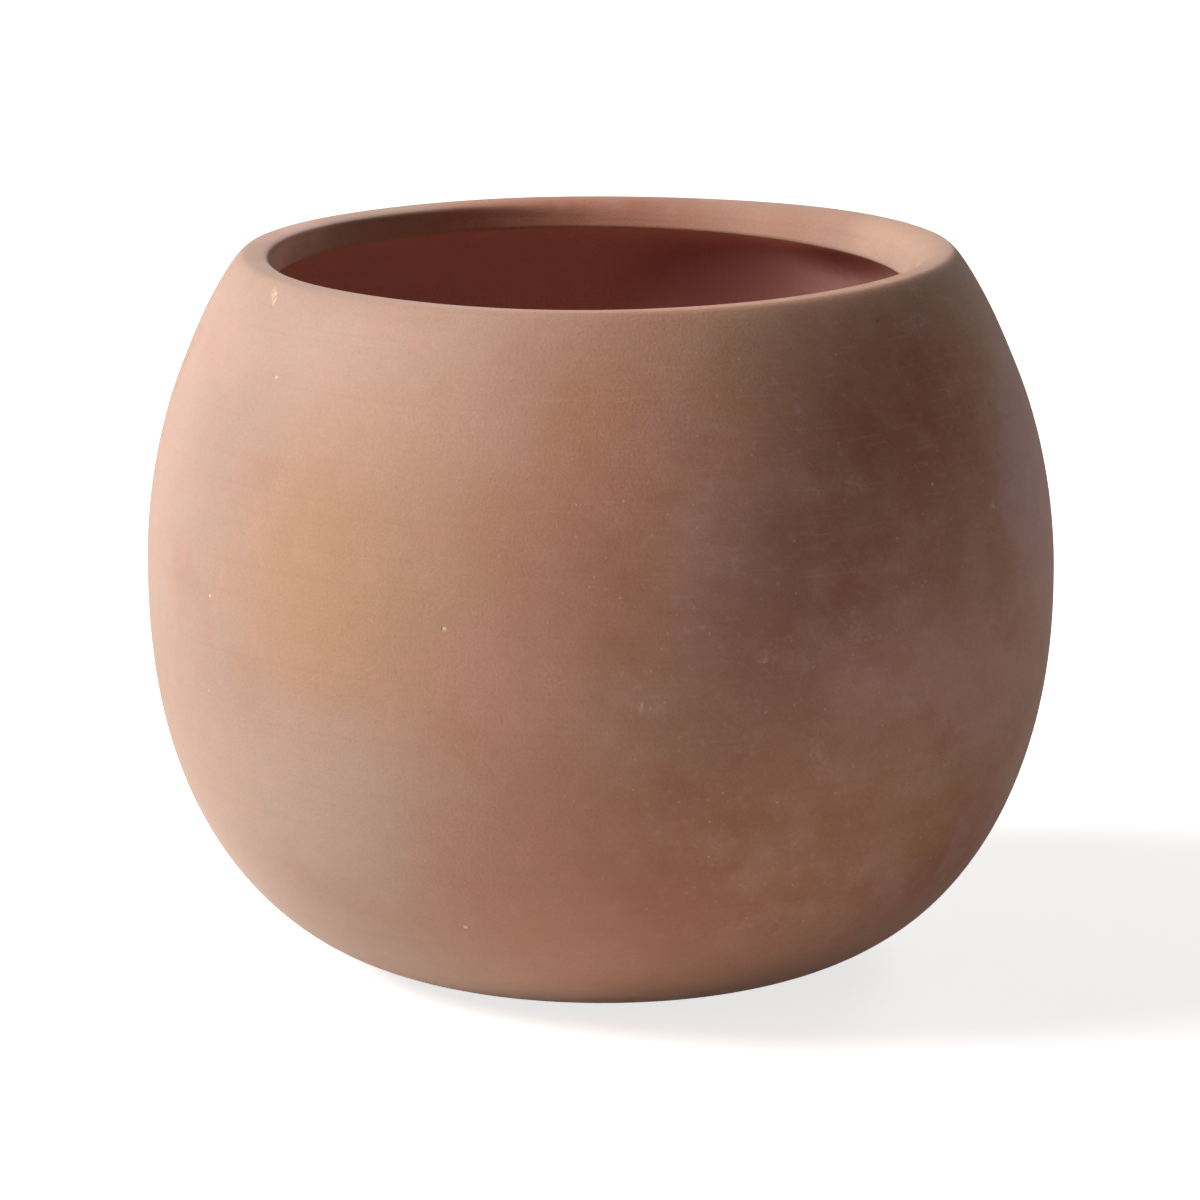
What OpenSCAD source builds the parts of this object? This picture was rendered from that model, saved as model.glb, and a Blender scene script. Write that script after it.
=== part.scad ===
// Round-bellied terracotta flower pot for the floor, fired in one piece, with a loose mesh
// screen over the drain hole in its base and a rubber plug pushed up into that hole.
// All lengths are millimetres. The pot is turned about Z and stands on Z = 0.

/* [Pot body] */
// Height of the pot from the floor to the top of the lip
pot_h = 315; // [300:1:340]
// Outside diameter of the belly at its widest
belly_d = 400; // [380:1:440]
// Height of the widest place above the floor
belly_z = 175; // [155:1:190]
// Thickness of the fired wall
wall_t = 12; // [9:0.5:16]
// Diameter of the flat middle that the flank swells out from
flank_start_d = 140; // [110:1:150]
// Fullness of the flank: 2 is an ellipse, more is squarer
flank_power = 2.23; // [2:0.01:2.6]

/* [Lip] */
// Outside diameter where the shoulder ends and the lip begins to round over
shoulder_d = 334; // [326:1:345]
// Height of the rounded outside of the lip
lip_h = 16.5; // [14:0.5:22]
// Run of that rounding, in to the top line of the lip
lip_round_w = 13; // [11:0.5:18]
// Width of the lip's top, from the top line in to the upper edge of the inner face
rim_w = 11; // [7:0.5:14]
// Run of the inner face, which leans inwards from its upper edge down to the clear mouth
face_w = 8; // [2:0.5:16]
// Height of the rounding over the upper edge
mouth_round_h = 4; // [2:0.5:7]
// Depth of the inner face's lower edge below the top line
lip_drop = 12.5; // [11.5:0.5:18]
// Radius of the lower inner corner of the lip
lip_corner_r = 2; // [1:0.25:2.5]
// Height of the hollow that runs from the lip's underside into the wall
under_lip_h = 13; // [8:1:18]

/* [Base] */
// Outside diameter of the flat ring that the pot stands on
foot_d = 176; // [170:1:200]
// Width of that flat ring
foot_w = 18; // [12:1:26]
// Depth of the hollow under the base
recess_h = 9; // [8.5:0.5:14]
// Run of the hollow's sloped side
recess_slope_w = 12; // [6:1:16]
// Thickness of the base round the drain hole
base_t = 13; // [12:0.5:20]
// Diameter of the drain hole
drain_d = 30; // [24:1:38]
// Bevel round the top of the drain hole
drain_bevel = 1.5; // [0.5:0.25:2.5]

/* [Mesh screen] */
// Diameter of the screen
screen_d = 66; // [58:1:80]
// Thickness of the screen
screen_t = 1.4; // [1:0.1:2.5]
// Width of the solid rim round the mesh
screen_rim_w = 3; // [2:0.25:5]
// Distance from one strand of the mesh to the next
mesh_pitch = 4.5; // [3.5:0.25:7]
// Width of a strand
strand_w = 1.3; // [0.8:0.1:2]

/* [Drain plug] */
// Diameter of the plug's head
plug_head_d = 46; // [42:1:50]
// Thickness of the head
plug_head_t = 3.4; // [2.5:0.1:4.5]
// Depth of each sealing rib
rib_depth = 1.6; // [0.8:0.1:2.4]
// Height of a sealing rib
rib_h = 2.2; // [1.2:0.1:2.8]
// Distance from one sealing rib to the next
rib_pitch = 3.6; // [3:0.1:5]
// Distance from the plug's nose down from the inner floor
nose_drop = 1.4; // [0.8:0.1:3]
// Bevel round the nose
nose_bevel = 1.2; // [0.5:0.1:2]
// Width of the pull tab
tab_w = 15; // [10:1:20]
// Reach of the pull tab past the edge of the head
tab_reach = 12; // [8:1:13]
// Thickness of the pull tab
tab_t = 2.2; // [1.5:0.1:2.5]
// Height of the grip ridges under the pull tab
ridge_h = 0.7; // [0.4:0.1:1]
// Width of a grip ridge
ridge_w = 1.2; // [0.8:0.1:1.5]
// Number of grip ridges
ridge_count = 3; // [1:1:4]

/* [Fits] */
// Gap between a piece and the flat face that it lies against
seat_gap = 0.1; // [0.05:0.05:0.3]
// Gap all round between a sealing rib and the drain hole
rib_gap = 0.05; // [0.02:0.01:0.1]

/* [Hidden] */
$fn = 128;

// Extra length that lets a cutting shape pass right through
past = 1;

// Points along each stretch of the outline
flank_steps = 26;
shoulder_steps = 16;
lip_steps = 9;
corner_steps = 4;

belly_r = belly_d / 2;
flank_start_r = flank_start_d / 2;
shoulder_r = shoulder_d / 2;
shoulder_z = pot_h - lip_h;
crest_r = shoulder_r - lip_round_w;
mouth_top_r = crest_r - rim_w;
mouth_r = mouth_top_r - face_w;
under_lip_z = pot_h - lip_drop;
foot_r = foot_d / 2;
recess_r = foot_r - foot_w;
floor_z = recess_h + base_t;
drain_r = drain_d / 2;

// The shoulder is an arc that is upright at the belly and passes through the start of the lip
shoulder_rise = shoulder_z - belly_z;
shoulder_in = belly_r - shoulder_r;
shoulder_arc_r = (pow(shoulder_in, 2) + pow(shoulder_rise, 2)) / (2 * shoulder_in);
shoulder_end = asin(shoulder_rise / shoulder_arc_r);

// The inside of the shoulder is the same arc, one wall thickness further in
inner_arc_r = shoulder_arc_r - wall_t;
inner_end = asin((under_lip_z - under_lip_h - belly_z) / inner_arc_r);

// The flank is cut off by the floor, where it is as wide as the foot
flank_out = belly_r - flank_start_r;
foot_share = pow(1 - pow((foot_r - flank_start_r) / flank_out, flank_power), 1 / flank_power);
flank_depth = belly_z / foot_share;
foot_angle = asin(pow(foot_share, flank_power / 2));

// A point of the flank, from 0 degrees at the belly to 90 at its lowest
function flank(angle, out, depth) = [
    flank_start_r + out * pow(cos(angle), 2 / flank_power),
    belly_z - depth * pow(sin(angle), 2 / flank_power)
];

// A point of the shoulder's arc, from 0 degrees at the belly upwards
function shoulder(angle, arc_r) = [
    belly_r - shoulder_arc_r + arc_r * cos(angle),
    belly_z + arc_r * sin(angle)
];

// A smooth bend from one point to another that heads for a corner point on its way,
// without its first point
function bend(from, corner, to, steps) = [
    for (i = [1:steps])
        let (t = i / steps)
        pow(1 - t, 2) * from + 2 * t * (1 - t) * corner + pow(t, 2) * to
];

// The outside, from the foot up to the start of the lip
outside = concat(
    [for (i = [0:flank_steps]) flank(foot_angle * (1 - i / flank_steps), flank_out, flank_depth)],
    [for (i = [1:shoulder_steps]) shoulder(shoulder_end * i / shoulder_steps, shoulder_arc_r)]
);

// A point of the lip's inner face, at a depth below the top line
function inner_face(depth) = [mouth_top_r - face_w * depth / lip_drop, pot_h - depth];

// The lip, over its top and down its inner face
lip = concat(
    bend(
        [shoulder_r, shoulder_z],
        [shoulder_r - lip_h * tan(shoulder_end), pot_h],
        [crest_r, pot_h],
        lip_steps
    ),
    bend([crest_r, pot_h], inner_face(0), inner_face(mouth_round_h), lip_steps),
    [inner_face(lip_drop - lip_corner_r)],
    bend(
        inner_face(lip_drop - lip_corner_r),
        [mouth_r, under_lip_z],
        [mouth_r + lip_corner_r, under_lip_z],
        corner_steps
    )
);

// The inside, from the lip's underside down to the flat floor
inner_top = shoulder(inner_end, inner_arc_r);
inside = concat(
    bend(
        [mouth_r + lip_corner_r, under_lip_z],
        [inner_top[0] - under_lip_h * tan(inner_end), under_lip_z],
        inner_top,
        lip_steps
    ),
    [for (i = [1:shoulder_steps]) shoulder(inner_end * (1 - i / shoulder_steps), inner_arc_r)],
    [for (i = [1:flank_steps]) flank(90 * i / flank_steps, flank_out - wall_t, belly_z - floor_z)]
);

// The drain hole and the hollow under the base
underside = concat(
    [
        [drain_r + drain_bevel, floor_z],
        [drain_r, floor_z - drain_bevel],
        [drain_r, recess_h],
        [recess_r - recess_slope_w, recess_h]
    ],
    bend([recess_r - recess_slope_w, recess_h], [recess_r - recess_slope_w / 3, recess_h], [recess_r, 0], corner_steps)
);

// One turned shell of fired clay: foot ring, belly, shoulder, rolled lip and drained base
module pot_shell() {
    color("peru")
        rotate_extrude() polygon(concat(outside, lip, inside, underside));
}

// Parallel strands of the mesh, across the whole screen
module strands() {
    reach = floor(screen_d / 2 / mesh_pitch);
    for (i = [-reach:reach])
        translate([i * mesh_pitch - strand_w / 2, -screen_d / 2, 0])
            cube([strand_w, screen_d, screen_t]);
}

// Flat moulded mesh that keeps the soil in, lying on the floor over the drain hole
module drain_screen() {
    color("darkslategray")
        translate([0, 0, floor_z + seat_gap]) {
            difference() {
                cylinder(h = screen_t, d = screen_d);
                translate([0, 0, -past])
                    cylinder(h = screen_t + 2 * past, d = screen_d - 2 * screen_rim_w);
            }
            intersection() {
                cylinder(h = screen_t, d = screen_d - screen_rim_w);
                union() {
                    strands();
                    rotate(90) strands();
                }
            }
        }
}

plug_head_top = recess_h - seat_gap;
plug_head_bottom = plug_head_top - plug_head_t;
plug_nose_z = floor_z - nose_drop;
rib_r = drain_r - rib_gap;
stem_r = rib_r - rib_depth;
ribs = floor((plug_nose_z - nose_bevel - plug_head_top) / rib_pitch);

// One sealing rib of the stem, with its lower edge at height z
function rib(z) = [
    [stem_r, z],
    [rib_r, z + rib_h / 3],
    [rib_r, z + rib_h * 2 / 3],
    [stem_r, z + rib_h]
];

// Rubber bung: round head against the base, ribbed stem in the hole, tab to pull it by
module drain_plug() {
    color("dimgray") {
        rotate_extrude()
            polygon(concat(
                [
                    [0, plug_head_bottom],
                    [plug_head_d / 2 - 1, plug_head_bottom],
                    [plug_head_d / 2, plug_head_bottom + 1],
                    [plug_head_d / 2, plug_head_top],
                    [stem_r, plug_head_top]
                ],
                [for (i = [0:ribs - 1]) each rib(plug_head_top + (i + 0.5) * rib_pitch - rib_h / 2)],
                [
                    [stem_r, plug_nose_z - nose_bevel],
                    [stem_r - nose_bevel, plug_nose_z],
                    [0, plug_nose_z]
                ]
            ));
        pull_tab();
    }
}

// Flat tongue that runs out of the head's edge, with grip ridges across its underside
module pull_tab() {
    tab_end = plug_head_d / 2 + tab_reach;
    translate([0, 0, plug_head_bottom]) {
        translate([0, -tab_w / 2, 0]) cube([tab_end - tab_w / 2, tab_w, tab_t]);
        translate([tab_end - tab_w / 2, 0, 0]) cylinder(h = tab_t, d = tab_w);
        for (i = [1:ridge_count])
            translate([plug_head_d / 2 + i * tab_reach / (ridge_count + 2), -tab_w / 3, -ridge_h])
                cube([ridge_w, tab_w * 2 / 3, ridge_h + tab_t / 2]);
    }
}

pot_shell();
drain_screen();
drain_plug();
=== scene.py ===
import math
from typing import NamedTuple

import bpy
import numpy as np
from bpy.props import FloatProperty, FloatVectorProperty, PointerProperty
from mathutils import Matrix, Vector


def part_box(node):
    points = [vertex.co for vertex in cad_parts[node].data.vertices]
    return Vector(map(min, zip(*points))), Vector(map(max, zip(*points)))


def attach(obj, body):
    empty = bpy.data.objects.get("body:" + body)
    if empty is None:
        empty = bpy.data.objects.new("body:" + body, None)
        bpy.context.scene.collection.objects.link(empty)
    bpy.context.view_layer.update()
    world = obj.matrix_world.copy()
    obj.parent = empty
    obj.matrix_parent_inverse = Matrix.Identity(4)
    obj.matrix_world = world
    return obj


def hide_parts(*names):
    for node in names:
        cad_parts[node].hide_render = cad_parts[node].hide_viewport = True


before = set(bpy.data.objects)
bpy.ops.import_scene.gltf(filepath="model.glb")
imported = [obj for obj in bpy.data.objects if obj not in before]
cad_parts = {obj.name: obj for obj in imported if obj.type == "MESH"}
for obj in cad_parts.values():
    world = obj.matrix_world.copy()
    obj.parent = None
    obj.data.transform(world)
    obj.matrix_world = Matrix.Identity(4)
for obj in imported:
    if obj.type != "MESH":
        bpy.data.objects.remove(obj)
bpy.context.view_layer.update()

bl_info = {
    "name": "Terracotta Flower Pot",
    "version": (1, 0, 0),
    "blender": (4, 5, 0),
    "location": "View3D > Sidebar > Flower Pot",
    "description": "Turns a round-bellied clay pot, moulds its drain screen and plug, and sets the stage",
    "category": "Add Mesh",
}

MM = 0.001

# The Mix node has sockets of one name for each kind of data, so its colour ones go by number
MIX_A, MIX_B, MIX_OUT = 6, 7, 2


def linear(code):
    """A hex sRGB colour as linear red, green, blue and alpha."""
    parts = [int(code[i:i + 2], 16) / 255 for i in (1, 3, 5)]
    return tuple(p / 12.92 if p <= 0.04045 else ((p + 0.055) / 1.055) ** 2.4 for p in parts) + (1.0,)


def number(name, description, default, **settings):
    """A property that holds a number."""
    return FloatProperty(name=name, description=description, default=default, **settings)


def length(name, description, millimetres):
    """A property that holds a length, with its default given in millimetres."""
    return number(name, description, millimetres * MM, unit="LENGTH", precision=4)


def colour(name, description, code):
    """A property that holds a colour, with its default given as sRGB hex."""
    return FloatVectorProperty(
        name=name, description=description, default=linear(code), size=4, subtype="COLOR", min=0, max=1
    )


def bearing(name, description, degrees):
    """A property that holds an angle, with its default given in degrees."""
    return number(name, description, math.radians(degrees), subtype="ANGLE")


def cad_extent(node):
    """Width, depth and height of a CAD node, in millimetres."""
    low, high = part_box(node)
    return (high - low) / MM


# Sizes and colours

class VesselSizes(bpy.types.PropertyGroup):
    """Sizes of the turned clay vessel"""

    height: length("Height", "Floor to the top of the lip", cad_extent("pot_shell").z)
    belly_width: length("Belly width", "Outside width at the widest place", cad_extent("pot_shell").x)
    belly_height: length("Belly height", "Height of the widest place", 175)
    wall: length("Wall", "Thickness of the clay wall", 12)
    flank_start_width: length("Flank start", "Width of the flat middle that the flank swells from", 140)
    flank_power: number("Flank fullness", "2 is an ellipse, more is squarer", 2.23)
    shoulder_width: length("Shoulder width", "Outside width where the lip begins", 334)
    lip_height: length("Lip height", "Height of the rounded outside of the lip", 16.5)
    crest_width: length("Crest width", "Width of the top line of the lip", 308)
    mouth_top_width: length("Mouth top", "Width at the upper edge of the lip's inner face", 286)
    mouth_width: length("Mouth width", "Clear width at the lower edge of that face", 270)
    crisp_round: length("Crisp rounding", "Height of the rounding inside the crest where it is crisp", 2.5)
    soft_round: length("Soft rounding", "Height of that rounding on the side where it is worn", 9)
    lip_drop: length("Lip drop", "Depth of the inner face's lower edge below the crest", 12.5)
    lip_corner: length("Lip corner", "Radius of the lip's lower inner corner", 2)
    under_lip: length("Under lip", "Height of the hollow that runs from the lip into the wall", 13)
    foot_width: length("Foot width", "Outside width of the flat standing ring", 176)
    foot_ring: length("Foot ring", "Width of the flat standing ring itself", 18)
    recess: length("Recess", "Depth of the hollow under the base", 9)
    recess_slope: length("Recess slope", "Run of the hollow's sloped side", 12)
    base: length("Base", "Thickness of the base", 13)
    drain_width: length("Drain", "Width of the drain hole", 30)
    drain_bevel: length("Drain bevel", "Bevel round the top of the drain hole", 1.5)
    lean: length("Lean", "How far the hand-turned pot leans aside over its whole height", 1.6)
    lip_shift: length("Lip shift", "How much further the lip sits off the axis", 0.95)
    mouth_shift: length("Mouth shift", "How much further the inner face's lower edge sits off it", 5.9)
    mouth_back: length("Mouth back", "How far back the inner face's lower edge sits", 6.5)
    mouth_sink: length("Mouth sink", "How much deeper the shifted lower edge lies", 1.4)
    mouth_spread: length("Mouth spread", "How much further out that edge was pressed on the right", 5.4)
    spread_sink: length("Spread sink", "How much deeper that edge lies there", 3.2)
    side_tilt: length("Side tilt", "Rise of the lip on the right and fall on the left", 0.85)
    back_tilt: length("Back tilt", "Rise of the lip at the back and fall at the front", 1.2)
    saddle: length("Saddle", "Rise of the lip at both sides and fall at front and back", 0.5)
    lift: length("Lift", "Rise of the lip where it was lifted, at the right front", 0.7)
    dent: length("Dents", "Depth of the soft unevenness left by the hands", 0.3)


class ClayColours(bpy.types.PropertyGroup):
    """Colours of the fired clay and of what lies on it"""

    body: colour("Body", "Fired red earthenware", "#CC9478")
    # Deep: redder fired clay, and also a painted shade high on the right shoulder
    deep_and_shade: colour("Deep", "Clay that fired redder", "#B26850")
    ochre: colour("Ochre", "Clay that fired yellower", "#C89C7C")
    # Cream: fired clay, and also a painted highlight high on the left and front shoulder and on the right
    # inner face of the lip
    cream_and_highlight: colour("Cream", "Clay that fired palest, high up where the flame was", "#D8B098")
    apricot: colour("Apricot", "Clay that fired warmest, where the flame licked the front", "#DC9E80")
    smoke: colour("Smoke", "Clay darkened by the kiln's smoke", "#B67C6C")
    rose: colour("Rose", "Pale pink haze left by sponging", "#DCA494")
    # A pale tone laid mostly over the left and back: on the lit left side it is a painted highlight
    pale_highlight: colour("Bleached", "Chalky clay on the side that faced the weather", "#BEA08E")
    # Haze: a painted highlight, a pale veil laid on the lit left side and its edge
    haze_highlight: colour("Haze", "Chalky clay where the light also catches the dust", "#D4B4A6")
    olive: colour("Olive", "Clay that fired brownest", "#BE8A5E")
    # Mauve: a violet tone, and also a painted sheen where it lies along the right edge
    mauve_and_edge_sheen: colour("Mauve", "Clay with a thin violet dust, on the far right", "#D8A8A4")
    # Bloom: pale salts, and also a painted tint for the light in the shade of the left inner lip face
    bloom_and_shade_tint: colour("Bloom", "Salts that dried to a pale bloom", "#F0BFB4")
    chalk: colour("Chalk", "Dry scuffs of pale clay", "#F0C8B9")
    chip: colour("Chip", "Fresh clay in a small chip", "#F6E0C6")
    soot: colour("Soot", "Dark grains and dirt", "#6B4334")
    inside: colour("Inside", "Bare clay of the inner wall", "#DFA69E")
    # Inner shadow: a painted shadow, darker red laid on the inner wall below the lip
    inner_shadow: colour("Damp", "Inner wall that damp soil has darkened", "#96483C")
    sheen: colour("Dust", "Light that the powdery face throws off at a slant", "#F3DDD2")


class ScreenSizes(bpy.types.PropertyGroup):
    """Sizes of the moulded drain screen"""

    width: length("Width", "Outside width of the screen", cad_extent("drain_screen").x)
    thickness: length("Thickness", "Thickness of the rim", cad_extent("drain_screen").z)
    rim: length("Rim", "Width of the solid rim", 3)
    pitch: length("Pitch", "Distance from one strand to the next", 4.5)
    strand: length("Strand", "Width of a strand", 1.3)
    plastic: colour("Plastic", "Dark green-grey polyethylene", "#2E3532")


class PlugSizes(bpy.types.PropertyGroup):
    """Sizes of the rubber plug"""

    head_width: length("Head", "Width of the plug's head", 46)
    head_thickness: length("Head thickness", "Thickness of the head", 3.4)
    rib_depth: length("Rib depth", "Depth of each sealing rib", 1.6)
    rib_height: length("Rib height", "Height of a sealing rib", 2.2)
    rib_pitch: length("Rib pitch", "Distance from one rib to the next", 3.6)
    nose_bevel: length("Nose bevel", "Bevel round the nose", 1.2)
    tab_width: length("Tab width", "Width of the pull tab", 15)
    tab_reach: length("Tab reach", "Reach of the tab past the head", 12)
    tab_thickness: length("Tab thickness", "Thickness of the tab", 2.2)
    ridge: length("Ridge", "Height of the grip ridges", 0.7)
    gap: length("Gap", "Gap between the ribs and the hole", 0.05)
    seat: length("Seat", "Gap between the head and the base", 0.1)
    rubber: colour("Rubber", "Grey rubber", "#4A4744")


class StageSettings(bpy.types.PropertyGroup):
    """Camera, lamps, sky and floor"""

    camera_distance: length("Distance", "From the camera to the pot's axis", 2500)
    camera_elevation: bearing("Elevation", "Angle of the camera above the horizon", 12.54)
    camera_aside: length("Aside", "How far left of the axis the camera aims", 1.2)
    camera_aim: length("Aim", "Height that the camera aims at", 158)
    lens: number("Lens", "Focal length on a 36 mm sensor", 169.2)
    lamp_distance: length("Lamp distance", "From each lamp to the pot", 2400)
    key_width: length("Lamp width", "Width of the soft lamp", 1600)
    key_power: number("Lamp power", "Watts", 75)
    key_turn: bearing("Lamp turn", "Angle of the lamp from the left towards the camera", 9)
    key_elevation: bearing("Lamp elevation", "Angle of the lamp above the horizon", 39)
    back_width: length("Back lamp width", "Width of the weaker lamp behind the pot", 900)
    back_power: number("Back lamp power", "Watts", 8)
    back_turn: bearing("Back lamp turn", "Angle of the back lamp from the left towards the camera", 230)
    back_elevation: bearing("Back lamp elevation", "Angle of the back lamp above the horizon", 30)
    ambient: number("Ambient", "Strength of the white sky", 0.03)
    floor_radius: length("Floor", "Radius of the floor", 12000)
    floor: colour("Floor", "Pale floor", "#F2F1EF")


# Building meshes

def bend(start, corner, end, steps):
    """Points of a bend: (1-t)^2 start + 2t(1-t) corner + t^2 end, for t above 0 up to 1."""
    t = np.linspace(0, 1, steps + 1)[1:, None]
    return (1 - t) ** 2 * np.array(start) + 2 * t * (1 - t) * np.array(corner) + t ** 2 * np.array(end)


def ease(low, high, x):
    """0 below low and 1 above high, with the smooth step t*t*(3-2t) between them."""
    t = np.clip((x - low) / (high - low), 0, 1)
    return t * t * (3 - 2 * t)


def squared(wave, power):
    """sign(w) |w|^power: below 1, the power pushes a circle's cosine or sine out towards a box."""
    return np.sign(wave) * np.abs(wave) ** power


def respace(points, spacing):
    """The same line with points at a wanted spacing, given for each of the old points.

    The line's length, from its first two columns, is divided by the spacing and summed along it, and
    the sum is cut into equal parts.
    """
    step = np.linalg.norm(np.diff(points[:, :2], axis=0), axis=1)
    mean_spacing = (spacing[1:] + spacing[:-1]) / 2
    count = np.concatenate([[0], np.cumsum(step / mean_spacing)])
    places = np.linspace(0, count[-1], int(round(count[-1])) + 1)
    return np.stack([np.interp(places, count, points[:, i]) for i in range(points.shape[1])], axis=1)


def grid_faces(rows, columns, close_rows, close_columns):
    """Quads between neighbours on a grid of points, wrapped round where a direction is closed."""
    i = np.arange(rows if close_rows else rows - 1)
    j = np.arange(columns if close_columns else columns - 1)
    i, j = np.meshgrid(i, j, indexing="ij")
    next_i, next_j = (i + 1) % rows, (j + 1) % columns
    corners = [i * columns + j, i * columns + next_j, next_i * columns + next_j, next_i * columns + j]
    return np.stack(corners, axis=-1).reshape(-1, 4)


def make_piece(name, parts, material, attributes=None):
    """One smooth mesh object from parts, each a pair of (points, quads), with one material."""
    points, faces, offset = [], [], 0
    for part_points, part_faces in parts:
        points.append(part_points.reshape(-1, 3))
        faces.append(part_faces + offset)
        offset += len(points[-1])
    points, faces = np.concatenate(points), np.concatenate(faces)
    mesh = bpy.data.meshes.new(name)
    mesh.from_pydata(points.tolist(), [], faces.tolist())
    for key, values in (attributes or {}).items():
        attribute = mesh.attributes.new(key, "FLOAT", "POINT")
        attribute.data.foreach_set("value", values.astype(np.float32).ravel())
    mesh.polygons.foreach_set("use_smooth", np.ones(len(faces), bool))
    mesh.validate()
    mesh.update()
    piece = bpy.data.objects.new(name, mesh)
    bpy.context.scene.collection.objects.link(piece)
    piece.data.materials.append(material)
    return piece


def turned(outline, steps):
    """A lathe surface: each (radius, height) of a closed outline goes round the Z axis."""
    angle = np.linspace(0, 2 * np.pi, steps, endpoint=False)
    r, z = outline[:, 0][:, None], outline[:, 1][:, None]
    points = np.stack([r * np.cos(angle), r * np.sin(angle), z + 0 * angle], axis=-1)
    return points, grid_faces(len(outline), steps, True, True)


# The clay vessel

# The softened edge between the hollow under the base and the foot ring, and that of the drain hole
RING_EDGE_IN, RING_EDGE_UP, RING_EDGE_OUT, DRAIN_EDGE = 0.6 * MM, 1.2 * MM, 1 * MM, 0.5 * MM

# From one point of the outline to the next, at the lip and the drain hole and anywhere else
FINE_SPACING, COARSE_SPACING = 1.5 * MM, 5.6 * MM

# How far below the crest the lip's own shifts end, and how much further off its inner side sits
LIP_REACH, INNER_SHIFT = 86 * MM, 0.6 * MM

# The ripple in the shoulder: how deep, how high above the floor and how wide it is
RIPPLE_DEPTH, RIPPLE_HEIGHT, RIPPLE_WIDTH = 0.35 * MM, 271 * MM, 14 * MM

# Where round the pot the inner edge is worn most and the lip was lifted most, and how fast the lift and
# the pressed stretch on the right fall off round the pot
WORN_AT, LIFTED_AT = math.radians(35), math.radians(-36)
LIFT_FALL, PRESS_FALL = 5, 3.24

# Dents fade out over this stretch above the floor, so that the pot stands flat
DENTS_FROM, DENTS_WHOLE = 6 * MM, 40 * MM
DENT_SEED, DENT_WAVES = 11, 14


def vessel_outline(s, mouth_round):
    """Closed outline of the clay as (radius, height, station) rows.

    The flank is a superellipse from the foot to the belly, the shoulder an arc that is upright at the
    belly, and the lip two bends over the crest. The inside repeats flank and shoulder one wall further
    in. The station counts the stretches: 0-1 flank, 1-2 shoulder, 2-3 outside of the lip, 3-4 rounding
    inside the crest, 4-5 inner face of the lip, 5-6 hollow under it, 6-8 inner wall, 8-10 base and foot.
    """
    belly_r, start_r = s.belly_width / 2, s.flank_start_width / 2
    shoulder_r, crest_r, mouth_r = s.shoulder_width / 2, s.crest_width / 2, s.mouth_width / 2
    foot_r, drain_r, floor_z = s.foot_width / 2, s.drain_width / 2, s.recess + s.base
    shoulder_z, under_z = s.height - s.lip_height, s.height - s.lip_drop
    recess_r = foot_r - s.foot_ring
    mouth_top_r = s.mouth_top_width / 2
    inset, rise = belly_r - shoulder_r, shoulder_z - s.belly_height
    arc_r = (inset ** 2 + rise ** 2) / (2 * inset)
    power = s.flank_power

    def flank(angle, out, depth):
        return np.stack([
            start_r + out * np.cos(angle) ** (2 / power),
            s.belly_height - depth * np.sin(angle) ** (2 / power),
        ], axis=1)

    def shoulder(angle, radius):
        return np.stack([
            belly_r - arc_r + radius * np.cos(angle), s.belly_height + radius * np.sin(angle)
        ], axis=1)

    def inner_face(depth):
        return mouth_top_r - (mouth_top_r - mouth_r) * depth / s.lip_drop, s.height - depth

    out = belly_r - start_r
    foot_share = (1 - ((foot_r - start_r) / out) ** power) ** (1 / power)
    foot_angle = math.asin(foot_share ** (power / 2))
    top_angle = math.asin(rise / arc_r)
    inner_r = arc_r - s.wall
    inner_angle = math.asin((under_z - s.under_lip - s.belly_height) / inner_r)
    inner_top = shoulder(np.array([inner_angle]), inner_r)[0]
    corner_end = (mouth_r + s.lip_corner, under_z)
    slope_top = (recess_r - s.recess_slope, s.recess)
    slope_end = (recess_r - RING_EDGE_IN, RING_EDGE_UP)

    stretches = [
        flank(np.linspace(foot_angle, 0, 160), out, s.belly_height / foot_share),
        shoulder(np.linspace(0, top_angle, 100)[1:], arc_r),
        bend(
            (shoulder_r, shoulder_z),
            (shoulder_r - s.lip_height * math.tan(top_angle), s.height),
            (crest_r, s.height), 40,
        ),
        bend((crest_r, s.height), inner_face(0), inner_face(mouth_round), 40),
        bend(inner_face(s.lip_drop - s.lip_corner), (mouth_r, under_z), corner_end, 12),
        bend(
            corner_end, (inner_top[0] - s.under_lip * math.tan(inner_angle), under_z), inner_top, 30
        ),
        shoulder(np.linspace(inner_angle, 0, 90)[1:], inner_r),
        flank(np.linspace(0, np.pi / 2, 160)[1:], out - s.wall, s.belly_height - floor_z),
        np.concatenate([
            bend(
                (drain_r + 2 * s.drain_bevel, floor_z), (drain_r, floor_z),
                (drain_r, floor_z - 2 * s.drain_bevel), 8,
            ),
            [[drain_r, s.recess + DRAIN_EDGE], [drain_r + DRAIN_EDGE, s.recess]],
        ]),
        np.concatenate([
            [slope_top],
            bend(slope_top, (recess_r - s.recess_slope / 3, s.recess), slope_end, 12),
            bend(slope_end, (recess_r, 0), (recess_r + RING_EDGE_OUT, 0), 4),
            [[foot_r, 0]],
        ]),
    ]
    rows = [
        np.column_stack([points, np.linspace(i, i + 1, len(points) + 1)[1:]])
        for i, points in enumerate(stretches)
    ]
    return np.concatenate(rows)


def soft_dents(angle, height, seed):
    """Smooth unevenness, mostly from -1 to 1: a sum of waves round the pot and up it, from a seed."""
    draw = np.random.default_rng(seed)
    total = np.zeros(np.broadcast(angle, height).shape)
    for _ in range(DENT_WAVES):
        turns, rise = draw.integers(1, 7), draw.uniform(-40, 40)
        total += np.sin(turns * angle + rise * height + draw.uniform(0, 2 * np.pi))
    return total / math.sqrt(DENT_WAVES) / 1.5


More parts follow.
